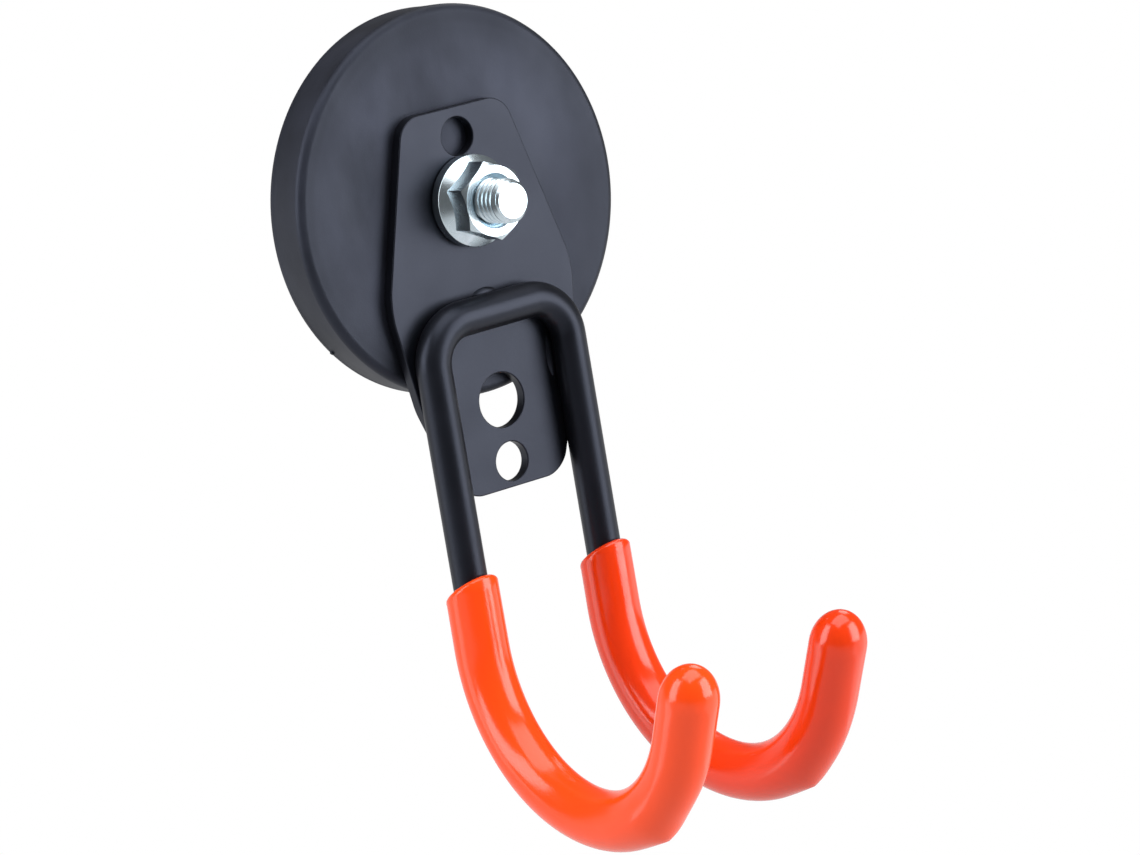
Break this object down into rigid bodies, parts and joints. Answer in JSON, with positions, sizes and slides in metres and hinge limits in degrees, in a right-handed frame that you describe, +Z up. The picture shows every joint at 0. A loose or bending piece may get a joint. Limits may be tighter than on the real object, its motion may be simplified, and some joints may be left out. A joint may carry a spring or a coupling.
{
  "type": "magnetic headphone holder",
  "caption": "Wall-hung holder: a rubber-covered disc magnet with a threaded stud carries a steel bracket, and a bent rod on it ends in sleeved J-shaped hooks.",
  "frame": {"origin": "centre of the magnet's flat holding face", "axes": "+X right as one faces the holder, +Y into the wall, +Z up; the stud points along -Y"},
  "size_m": [0.088, 0.101, 0.1866],
  "materials": {
    "black_rubber": "matt moulded rubber with a faint grey bloom",
    "black_coat": "satin black powder coat",
    "bright_zinc": "bright zinc plate",
    "orange_pvc": "glossy dipped vinyl",
    "magnet_nickel": "nickel plate",
    "yoke_steel": "plain cut steel"
  },
  "bodies": {
    "magnet": {"rubber_cover": "black_rubber", "yoke_disc": "yoke_steel", "magnet_01": "magnet_nickel", "magnet_02": "magnet_nickel", "magnet_03": "magnet_nickel", "magnet_04": "magnet_nickel", "magnet_05": "magnet_nickel", "magnet_06": "magnet_nickel", "magnet_07": "magnet_nickel", "magnet_08": "magnet_nickel", "magnet_09": "magnet_nickel", "magnet_10": "magnet_nickel", "magnet_11": "magnet_nickel", "magnet_12": "magnet_nickel", "magnet_13": "magnet_nickel", "magnet_14": "magnet_nickel", "magnet_15": "magnet_nickel", "magnet_16": "magnet_nickel", "magnet_17": "magnet_nickel", "magnet_18": "magnet_nickel", "threaded_stud": "bright_zinc"},
    "bracket": {"bracket_plate": "black_coat", "hook_rod": "black_coat", "left_sleeve": "orange_pvc", "right_sleeve": "orange_pvc", "weld_bead_bar": "black_coat", "weld_bead_left": "black_coat", "weld_bead_right": "black_coat"},
    "nut": {"flange_nut": "bright_zinc"}
  },
  "joints": [
    {"name": "bracket_swivel", "type": "hinge", "parent": "magnet", "child": "bracket", "pos_m": [0, -0.0141, 0], "axis": [0, 1, 0], "continuous": true},
    {"name": "nut_turn", "type": "hinge", "parent": "magnet", "child": "nut", "pos_m": [0, -0.0207, 0], "axis": [0, 1, 0], "continuous": true}
  ]
}
